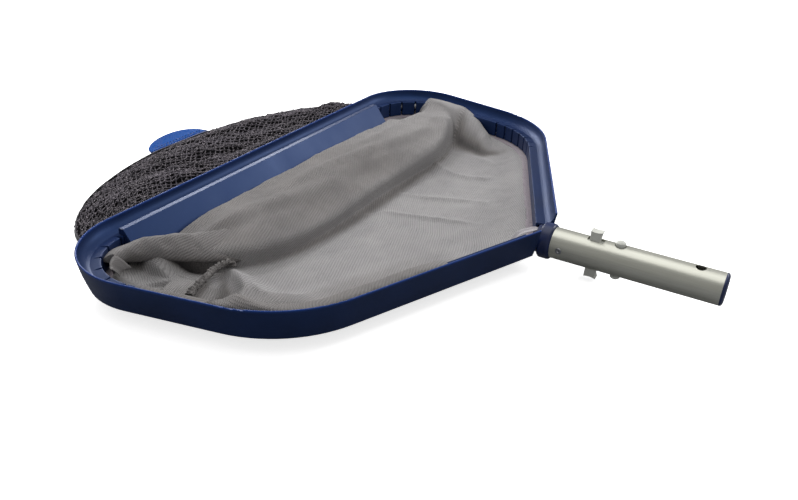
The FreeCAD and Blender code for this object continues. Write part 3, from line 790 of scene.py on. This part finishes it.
def knot_seam(look):
    """The gathered seam that climbs to the near wall: two twisted cords of bunched mesh."""
    centre = smooth_curve(SEAM_LINE, 90)
    along = unit(np.gradient(centre, axis=0))
    side = np.cross(along, (0, 0, 1))
    lift = np.cross(side, along)
    turns = np.linspace(0, 2 * math.pi * SEAM_TURNS, len(centre))
    for k in range(2):
        phase = turns + k * math.pi
        wound = side * np.cos(phase)[:, None] + lift * np.sin(phase)[:, None]
        core = centre + SEAM_TWIST_RADIUS * wound
        core += SEAM_ROUGHNESS * np.random.default_rng(90 + k).normal(0, 1, core.shape)
        sides = 10
        grid = np.zeros((len(core), sides, 3))
        for j in range(sides):
            a = 2 * math.pi * j / sides
            grid[:, j] = core + SEAM_CORD_RADIUS * (side * math.cos(a) + lift * math.sin(a))
        piece = sheet_piece("inner_net_seam_%d" % k, grid, look, wrap=True)
        set_attribute(piece, "tone", np.full(len(core) * sides, 1.1))


def inner_net_roll(look):
    """The roll of slack cloth that hangs over the near corner's hollow."""
    stations, columns = 150, 34
    crest, lip = smooth_curve(ROLL_CREST, stations), smooth_curve(ROLL_LIP, stations)
    along = unit(np.gradient(crest[:, :2], axis=0))
    back = np.column_stack([along[:, 1], -along[:, 0]])
    towards_panel = ((PANEL_SIDE - crest[:, :2]) * back).sum(1)[:, None] > 0
    back = np.where(towards_panel, back, -back)
    grid = np.zeros((stations, columns, 3))
    for i in range(stations):
        grown = float(smoothstep(i, 0, ROLL_GROWTH))
        outward = -back[i] * grown
        depth = back[i] * (0.3 + 0.7 * grown)
        start = np.append(crest[i, :2] + depth * ROLL_BACK, crest[i, 2] - 8)
        brow = np.append(crest[i, :2] + depth * 6, crest[i, 2] - 0.6)
        face = (crest[i] + lip[i]) / 2 + np.append(outward * 3.2, 1.0)
        tuck = lip[i] + np.append(back[i] * ROLL_TUCK * 0.5 * grown, -2.6)
        end = lip[i] + np.append(back[i] * ROLL_TUCK * grown, -4.0)
        grid[i] = smooth_curve((start, brow, crest[i], face, lip[i], tuck, end), columns)
    z = grid[..., 2]
    run = np.arange(stations)[:, None] * np.ones((1, columns))
    grid[..., 2] += 0.9 * lattice_noise(run, z, 9, 81) + 0.5 * lattice_noise(run, z, 4, 82)
    grid[..., 1] += 0.8 * lattice_noise(run, z * 2, 11, 83)
    piece = sheet_piece("inner_net_roll", grid, look, CLOTH_THICKNESS)
    # Painted shade: the roll's underside, from its lower lip into the tuck, is painted darker.
    under = smoothstep(np.arange(columns), columns * 0.66, columns * 0.86)
    set_attribute(piece, "tone", np.tile(0.75 + 0.85 * under, (stations, 1)))


# ---- bag lobe and outer net --------------------------------------------------------------------

LOBE_ROOT_X = -333.0
LOBE_CENTRE_Y = 16.0
LOBE_OUTLINE = (
    (-331, -196),
    (-352, -207),
    (-382, -206),
    (-408, -187),
    (-430, -161),
    (-447, -132),
    (-461, -98),
    (-473, -52),
    (-478.6, -12),
    (-479.4, 28),
    (-477.6, 66),
    (-470, 106),
    (-459, 142),
    (-448, 180),
    (-428, 218),
    (-398, 240),
    (-362, 247),
    (-331, 238),
)

THROAT_TOP_Z = -13.2
THROAT_X = tuple(np.arange(-326.0, -298.0, 3.2))
LOBE_TOP_SHARE = 0.56
LOBE_EDGE_Z = GROUND + 7.5
LOBE_BOTTOM_Z = GROUND + 2.2
LOBE_CROWN = 13.0
LINING_DEPTH = 3.4
LINING_EDGE_INSET = 0.5
TRAY_INSET = NET_EDGE_INSET + 3
TRAY_SLOPE = 12.0
# Points along and across each grid. Every second point of the coarse net's grids is a knot.
LOBE_GRID = (124, 82)
TRAY_GRID = (150, 84)
LINING_GRID = (150, 110)
LOBE_WIRE = 2.1
TRAY_WIRE = 1.6
KNOT_RADIUS = (1.5, 2.5)
KNOT_SIDES = 6
KNOT_PLAY = (0.9, 0.9, 0.7)


def from_lobe_centre(outline):
    """Unit directions from the middle of the bag's root to the points of its outline."""
    return unit(outline - np.array((LOBE_ROOT_X, LOBE_CENTRE_Y)))


def lobe_grid(inset, rows, columns):
    """The bag beyond the front bar as one sheet: over the top, round the edge, and back underneath."""
    outline = smooth_curve(LOBE_OUTLINE, rows)
    outline = outline - from_lobe_centre(outline) * min(inset, LINING_EDGE_INSET)
    root = np.column_stack([np.full(rows, LOBE_ROOT_X), np.linspace(outline[0, 1], outline[-1, 1], rows)])
    reach = np.linalg.norm(outline - root, axis=1)
    t = np.linspace(0, 1, columns)
    grid = np.zeros((rows, columns, 3))
    for j, s in enumerate(t):
        over = s < LOBE_TOP_SHARE
        out = s / LOBE_TOP_SHARE if over else (1 - s) / (1 - LOBE_TOP_SHARE)
        swell = np.sqrt(np.clip(1 - out ** 5, 0, 1))
        crown = LOBE_CROWN * np.sin(math.pi * min(1.0, 0.16 + 0.74 * out))
        crown = crown * np.clip(reach / 110, 0, 1) ** 0.5
        top = LOBE_EDGE_Z + (crown + 2.0) * swell - 3.0 * (1 - swell)
        bottom = LOBE_BOTTOM_Z + (LOBE_EDGE_Z - LOBE_BOTTOM_Z) * (1 - swell)
        grid[:, j, :2] = root + (outline - root) * out
        grid[:, j, 2] = top - inset if over else bottom + inset
    x, y = grid[..., 0], grid[..., 1]
    on_top = np.sin(np.clip(t / LOBE_TOP_SHARE, 0, 1) * math.pi)
    soft = (t < LOBE_TOP_SHARE)[None, :] * on_top[None, :]
    waves = 6.4 * streaks(x, y, 78, 150, 26, 31) + 4.0 * streaks(x, y, 66, 70, 13, 32)
    waves += 1.6 * lattice_noise(x, y, 11, 33)
    grid[..., 2] += waves * soft
    grid[..., 0] += 1.6 * lattice_noise(x, y, 26, 34) * soft ** 0.5
    return with_throat(grid, inset)


def with_throat(grid, inset):
    """The bag's sheets carried on under the front bar, to where they join the net under the mouth."""
    top = throat_strips(grid[:, 0], THROAT_TOP_Z - inset)
    bottom = throat_strips(grid[:, -1], LOBE_BOTTOM_Z + inset)
    return np.concatenate(top[::-1] + [grid] + bottom, axis=1)


def throat_strips(root, level):
    strips = []
    for x in THROAT_X:
        strip = root.copy()
        strip[:, 0] = x
        strip[:, 2] = level + 0.5 * lattice_noise(root[:, 1], np.full(len(root), x), 12, 35)
        strips.append(strip[:, None, :])
    return strips


def diamond_net(grid):
    """Vertices and faces of a net of diamond cells laid on a regular grid of points."""
    rows, columns, _ = grid.shape
    number = -np.ones((rows, columns), int)
    keep = [(i, j) for i in range(rows) for j in range(columns) if (i + j) % 2 == 0]
    for k, (i, j) in enumerate(keep):
        number[i, j] = k
    faces = []
    for i in range(rows):
        for j in range(columns):
            if (i + j) % 2 == 0:
                continue
            ring = [(i - 1, j), (i, j + 1), (i + 1, j), (i, j - 1)]
            inside = [number[a, b] for a, b in ring if 0 <= a < rows and 0 <= b < columns]
            if len(inside) >= 3:
                faces.append(inside)
    return [grid[i, j] for i, j in keep], faces


def tray_grid(rows, columns):
    """The outer net under the mouth: from the hem down to the ground and flat across."""
    plan = mouth_grid(TRAY_INSET, rows, columns)
    x, y = plan[..., 0].ravel(), plan[..., 1].ravel()
    distance, _ = nearest_on(inset_line(TRAY_INSET), np.column_stack([x, y]))
    z = GROUND + 1.0 + (NET_EDGE_Z - 2.4 - GROUND) * (1 - smoothstep(distance, 0, TRAY_SLOPE))
    return np.column_stack([x, y, z]).reshape(rows, columns, 3)


def knotted(verts, seed):
    """The net's knots a little out of place."""
    shake = np.random.default_rng(seed).normal(0, 1, (len(verts), 3))
    return np.asarray(verts) + np.clip(shake, -1.6, 1.6) * KNOT_PLAY


def add_knots(name, verts, look, seed):
    """Small lumps where the cords cross."""
    rng = np.random.default_rng(seed)
    angles = np.linspace(0, 2 * math.pi, KNOT_SIDES, endpoint=False)
    ring = [(math.cos(a), math.sin(a)) for a in angles]
    corners, faces = [], []
    for centre in verts:
        r = rng.uniform(*KNOT_RADIUS)
        squash, turn = rng.uniform(0.7, 1.1), rng.uniform(0, math.pi)
        c, s = math.cos(turn), math.sin(turn)
        k = len(corners)
        corners += [centre + r * np.array((0, 0, -0.8)), centre + r * np.array((0, 0, 0.8))]
        for a, b in ring:
            b = b * squash
            corners.append(centre + r * np.array((a * c - b * s, a * s + b * c, 0)))
        for i in range(KNOT_SIDES):
            j = (i + 1) % KNOT_SIDES
            faces += [(k, k + 2 + j, k + 2 + i), (k + 1, k + 2 + i, k + 2 + j)]
    dress(make_piece(name, corners, faces), look)


def outer_net(strand):
    """The coarse net: the lobe with its knots, the tray under the mouth, and the lining inside the lobe."""
    verts, faces = diamond_net(lobe_grid(0.0, *LOBE_GRID))
    verts = knotted(verts, 71)
    piece = make_piece("outer_net_lobe", verts, faces)
    tray_verts, tray_faces = diamond_net(tray_grid(*TRAY_GRID))
    tray = make_piece("outer_net_tray", tray_verts, tray_faces)
    for part, thickness in ((piece, LOBE_WIRE), (tray, TRAY_WIRE)):
        wire = add_modifier(part, "WIREFRAME", thickness=thickness * MM, use_even_offset=False)
        wire.use_boundary = True
        dress(part, strand)
    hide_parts("outer_net")
    add_knots("outer_net_knots", verts, strand, 72)
    lining = lobe_grid(LINING_DEPTH, *LINING_GRID)
    sheet_piece("inner_net_lobe", lining, shaded_lining())


# ---- hem, binding, pull tab --------------------------------------------------------------------

def ribbon(name, path, width, count, look):
    """A flat strip along a 3-D path, its width lying across the path."""
    centre = smooth_curve(path, count)
    along = unit(np.gradient(centre, axis=0))
    across = unit(np.cross(along, (0, 0, 1)))
    lift = np.cross(across, along)
    columns = 7
    grid = np.zeros((count, columns, 3))
    for j in range(columns):
        k = (j / (columns - 1) - 0.5) * width
        curl = 0.5 * math.cos(j / (columns - 1) * 2 * math.pi)
        grid[:, j] = centre + across * k + lift * curl
    piece = sheet_piece(name, grid, look, TAPE_THICKNESS)
    add_modifier(piece, "SUBSURF", levels=1, render_levels=1)


# The hem tape's section: inset from the lip and height over the rim's bottom, and where it starts to wave.
HEM_SECTION = ((13.9, 1.6), (13.9, -0.3), (15.2, -1.0), (18.4, -1.1), (21.6, -1.3), (24.6, -1.9))
HEM_LOOSE_FROM = 18.4
HEM_STEP = 3.0
HEM_END_OVER = (
    (-36, -16, -9),
    (-34, -13, -2),
    (-30, -9, 4.6),
    (-24, -2, 6.2),
    (-19, 6, 5.6),
    (-16, 11, 2.0),
)
HEM_END_UNDER = (
    (-27, -14, -7),
    (-22, -12, 0),
    (-18.5, -8, 4.6),
    (-16.8, -2, 5.2),
    (-17.5, 4, 4.6),
)
TAPE_THICKNESS = 0.6


def hem_tape():
    """The tape out of the rim's slot and under the inner wall, its free edge a little wavy."""
    points, inwards = rim_line(HEM_STEP)
    count, columns = len(points), len(HEM_SECTION)
    along = np.arange(count) * HEM_STEP
    coarse, fine = (lattice_noise(along, along * 0, size, seed) for size, seed in ((17, 41), (6, 42)))
    grid = np.zeros((count, columns, 3))
    for j, (u, v) in enumerate(HEM_SECTION):
        loose = max(0.0, (u - HEM_LOOSE_FROM) / 7)
        wave = loose * (0.7 * coarse + 0.3 * fine)
        grid[:, j, :2] = points + inwards * (u + wave)[:, None]
        grid[:, j, 2] = RIM_BOTTOM + v + wave * 0.6
    look = woven_tape("hem_fabric", color(98, 88, 96), color(140, 130, 138))
    band = sheet_piece("hem_tape_band", grid, look, CLOTH_THICKNESS)
    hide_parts("hem_tape")
    pale = woven_tape("hem_end_fabric", color(128, 124, 128), color(176, 172, 176))
    ends = (("hem_end_over", HEM_END_OVER, 7.5), ("hem_end_under", HEM_END_UNDER, 4.0))
    for name, path, width in ends:
        ribbon(name, path, width, 40, pale)


BINDING_SAMPLES = 400
BINDING_ENDS = 24
BINDING_STEP = 1.8
BINDING_Z = GROUND + 5.2
BINDING_BULGE = 1.4
BINDING_HALF_HEIGHT = 2.6


def seam_binding():
    """Dark woven binding round the bag's end seam."""
    outline = smooth_curve(LOBE_OUTLINE, BINDING_SAMPLES)[BINDING_ENDS:-BINDING_ENDS]
    outward = from_lobe_centre(outline)
    along = np.arange(len(outline)) * BINDING_STEP
    lie = 0.5 * lattice_noise(along, along * 0, 30, 52)
    columns = 9
    grid = np.zeros((len(outline), columns, 3))
    for j in range(columns):
        a = (j / (columns - 1) - 0.5) * math.pi * 1.1
        bulge = BINDING_BULGE * math.cos(a) + 0.25 * lattice_noise(along, along * 0 + j, 5, 51)
        grid[:, j, :2] = outline + outward * bulge[:, None]
        grid[:, j, 2] = BINDING_Z + BINDING_HALF_HEIGHT * math.sin(a) + lie
    look = woven_tape("binding", color(34, 33, 38), color(66, 64, 70))
    piece = sheet_piece("bag_seam_binding", grid, look, TAPE_THICKNESS)
    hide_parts("seam_binding")


def tab_frame():
    """The pull tab's root middle, length, reach and rise, from the CAD joint and the tab's box."""
    joint = next(j for j in frame["joints"] if j["name"] == "pull_tab_flap")
    root = np.array(joint["pos_m"]) / MM
    low, high = (np.array(c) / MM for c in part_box("pull_tab"))
    return root, high[1] - low[1], root[0] - low[0], high[2] - root[2]


TAB_THICKNESS = 1.7
TAB_CORD_RADIUS = 0.7
TAB_CORD_SIDES = 10
TAB_ROOT_GAP = 0.78
TAB_TAPE_THICKNESS = 1.3
# The share of the flap's length that is sewn, and the samples of the binding's outline behind it.
TAB_SEWN_SHARE = 0.97
TAB_ROOT_ROWS = 61
BEHIND_TAB = slice(120, 280)
STITCH_COUNT = 16
STITCHED_SHARE = 0.78
STITCH_LENGTH = 2.6
STITCH_RADIUS = 0.45
STITCH_PLACE = (-3.0, 0.0, 2.4)


def tab_root_tape():
    """Sewn strip that joins the binding to the flap's root, as far as the cord on the hinge line."""
    root, length, _, _ = tab_frame()
    outline = smooth_curve(LOBE_OUTLINE, BINDING_SAMPLES)[BEHIND_TAB]
    outline = outline[np.argsort(outline[:, 1])]
    columns = 6
    grid = np.zeros((TAB_ROOT_ROWS, columns, 3))
    for i in range(TAB_ROOT_ROWS):
        y = root[1] + (i / (TAB_ROOT_ROWS - 1) - 0.5) * length * TAB_SEWN_SHARE
        inner = np.interp(y, outline[:, 1], outline[:, 0]) + 0.5
        for j in range(columns):
            t = j / (columns - 1)
            x = inner + (root[0] + TAB_ROOT_GAP - inner) * t
            grid[i, j] = (x, y, BINDING_Z + (root[2] - BINDING_Z) * t)
    look = woven_tape("tab_root", color(16, 40, 84), color(28, 66, 128))
    sheet_piece("pull_tab_root_tape", grid, look, TAB_TAPE_THICKNESS)


def tab_root_cord():
    """Cord on the hinge line. It is round, so the flap turns about it without opening a gap."""
    root, length, _, _ = tab_frame()
    half = TAB_SEWN_SHARE / 2
    turns = np.arange(TAB_CORD_SIDES) / TAB_CORD_SIDES * 2 * math.pi
    cord = np.zeros((TAB_ROOT_ROWS, TAB_CORD_SIDES, 3))
    cord[:, :, 0] = root[0] + TAB_CORD_RADIUS * np.cos(turns)
    cord[:, :, 1] = root[1] + np.linspace(-half, half, TAB_ROOT_ROWS)[:, None] * length
    cord[:, :, 2] = root[2] + TAB_CORD_RADIUS * np.sin(turns)
    faces = grid_faces(TAB_ROOT_ROWS, TAB_CORD_SIDES, wrap=True)
    piece = make_piece("pull_tab_root_cord", cord.reshape(-1, 3), faces)
    dress(piece, thread_fibre("tab_cord", color(18, 62, 140)))


def pull_tab():
    """Lens-shaped flap, gently cupped along its length."""
    root, length, reach, rise = tab_frame()
    rows, columns = 49, 17
    grid = np.zeros((rows, columns, 3))
    for i in range(rows):
        a = (i / (rows - 1) - 0.5) * 2
        depth = math.sqrt(max(0.0, 1 - abs(a) ** 2.2)) * 0.97
        for j in range(columns):
            t = j / (columns - 1)
            out = t * depth
            cup = 1.6 * (1 - a * a) * t * t - 1.2 * a * a * t
            x = -TAB_ROOT_GAP - (reach - TAB_ROOT_GAP) * out
            grid[i, j] = root + np.array((x, a * length * 0.49, rise * out * 0.82 + cup))
    piece = make_piece("pull_tab_flap", grid.reshape(-1, 3), grid_faces(rows, columns), "tab")
    add_modifier(piece, "SOLIDIFY", thickness=TAB_THICKNESS * MM, offset=0)
    add_modifier(piece, "BEVEL", width=0.4 * MM, segments=2, limit_method="ANGLE")
    dress(piece, tab_rubber())
    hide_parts("pull_tab")


def capsule(centre, axis, length, radius, sides=8, rings=6):
    """Vertices and faces of a round-ended bar."""
    axis = np.asarray(axis, float) / np.linalg.norm(axis)
    side = np.cross(axis, (0.3, 0.2, 1.0))
    side /= np.linalg.norm(side)
    other = np.cross(axis, side)
    verts = []
    for k in range(rings):
        a = (k / (rings - 1) - 0.5) * math.pi * 0.98
        offset = axis * (length / 2 * np.sign(a) * (abs(math.sin(a)) ** 0.8) + radius * math.sin(a) * 0.5)
        for m in range(sides):
            b = 2 * math.pi * m / sides
            round_axis = side * math.cos(b) + other * math.sin(b)
            verts.append(centre + offset + radius * math.cos(a) * round_axis)
    faces = grid_faces(rings, sides, wrap=True)
    faces += [tuple(range(sides))[::-1], tuple((rings - 1) * sides + m for m in range(sides))]
    return verts, faces


def tab_stitching():
    """The row of stitches along the flap's root."""
    root, length, _, _ = tab_frame()
    verts, faces = [], []
    for i in range(STITCH_COUNT):
        y = (i / (STITCH_COUNT - 1) - 0.5) * length * STITCHED_SHARE
        centre = root + np.array(STITCH_PLACE) + np.array((0.0, y, 0.0))
        stitch_verts, stitch_faces = capsule(centre, (0.0, 1.0, 0.0), STITCH_LENGTH, STITCH_RADIUS)
        faces += [tuple(k + len(verts) for k in face) for face in stitch_faces]
        verts += stitch_verts
    piece = make_piece("tab_stitching", verts, faces, "tab")
    dress(piece, thread_fibre("thread", color(18, 52, 110)))
    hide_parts("tab_stitches")


# ---- stage -------------------------------------------------------------------------------------

CAMERA_PLACE = (0.16824, -0.60084, 0.32063)
CAMERA_YAW = 0.4991
CAMERA_PITCH = 0.5043
CAMERA_ROLL = 0.0432
LENS_MM = 34.28
SENSOR_MM = 36.0
FLOOR_HALF = 6.0
FLOOR_GAP = 0.0004
WORLD_LIGHT = 0.55
WORLD_REFLECTION = 0.32


def add_camera():
    """The camera, placed by its yaw, pitch and roll."""
    cy, sy = math.cos(CAMERA_YAW), math.sin(CAMERA_YAW)
    cp, sp = math.cos(CAMERA_PITCH), math.sin(CAMERA_PITCH)
    forward = Vector((-sy * cp, cy * cp, -sp))
    right = Vector((cy, sy, 0))
    up = right.cross(forward)
    cr, sr = math.cos(CAMERA_ROLL), math.sin(CAMERA_ROLL)
    x, y = right * cr + up * sr, up * cr - right * sr
    data = bpy.data.cameras.new("camera")
    data.lens = LENS_MM
    data.sensor_width = SENSOR_MM
    data.clip_start = 0.01
    camera = bpy.data.objects.new("camera", data)
    facing = Matrix((x, y, -forward)).transposed().to_4x4()
    camera.matrix_world = Matrix.Translation(CAMERA_PLACE) @ facing
    bpy.context.scene.collection.objects.link(camera)
    bpy.context.scene.camera = camera


def area_light(name, place, target, size, power, shiny=True):
    data = bpy.data.lights.new(name, "AREA")
    data.shape = "RECTANGLE"
    data.size, data.size_y = size
    data.energy = power
    light = bpy.data.objects.new(name, data)
    light.location = place
    light.visible_glossy = shiny
    light.rotation_euler = (Vector(target) - Vector(place)).to_track_quat("-Z", "Y").to_euler()
    bpy.context.scene.collection.objects.link(light)


def add_floor():
    z = GROUND * MM - FLOOR_GAP
    signs = ((-1, -1), (1, -1), (1, 1), (-1, 1))
    mesh = bpy.data.meshes.new("floor")
    mesh.from_pydata([(a * FLOOR_HALF, b * FLOOR_HALF, z) for a, b in signs], [], [(0, 1, 2, 3)])
    floor = bpy.data.objects.new("floor", mesh)
    bpy.context.scene.collection.objects.link(floor)
    mesh.materials.append(pale_floor())


def add_world():
    """White surroundings: full white to the camera, softer as light, softer still in reflections."""
    world = bpy.data.worlds.new("studio")
    world.use_nodes = True
    nodes, links = world.node_tree.nodes, world.node_tree.links
    background, path = nodes["Background"], nodes.new("ShaderNodeLightPath")
    background.inputs["Color"].default_value = (1, 1, 1, 1)
    lit = nodes.new("ShaderNodeMapRange")
    lit.inputs["To Min"].default_value = WORLD_LIGHT
    lit.inputs["To Max"].default_value = WORLD_REFLECTION
    links.new(path.outputs["Is Glossy Ray"], lit.inputs["Value"])
    seen = nodes.new("ShaderNodeMath")
    seen.operation = "MAXIMUM"
    links.new(lit.outputs["Result"], seen.inputs[0])
    links.new(path.outputs["Is Camera Ray"], seen.inputs[1])
    links.new(seen.outputs["Value"], background.inputs["Strength"])
    bpy.context.scene.world = world
    bpy.context.scene.view_settings.view_transform = "Standard"


def add_lights():
    middle = (-0.15, 0, 0)
    area_light("overhead", (-0.1, 0.15, 1.3), middle, (1.4, 1.4), 9)
    area_light("back_left", (-1.4, 1.0, 0.65), middle, (0.7, 0.4), 9)
    area_light("key", (-1.2, 0.6, 1.0), middle, (0.4, 0.4), 13, shiny=False)
    area_light("back_right", (0.6, 1.24, 0.74), middle, (0.6, 0.35), 7)


dress_frame()
inner_net()
outer_net(net_strand())
hem_tape()
seam_binding()
tab_root_tape()
tab_root_cord()
pull_tab()
tab_stitching()
add_camera()
add_floor()
add_world()
add_lights()
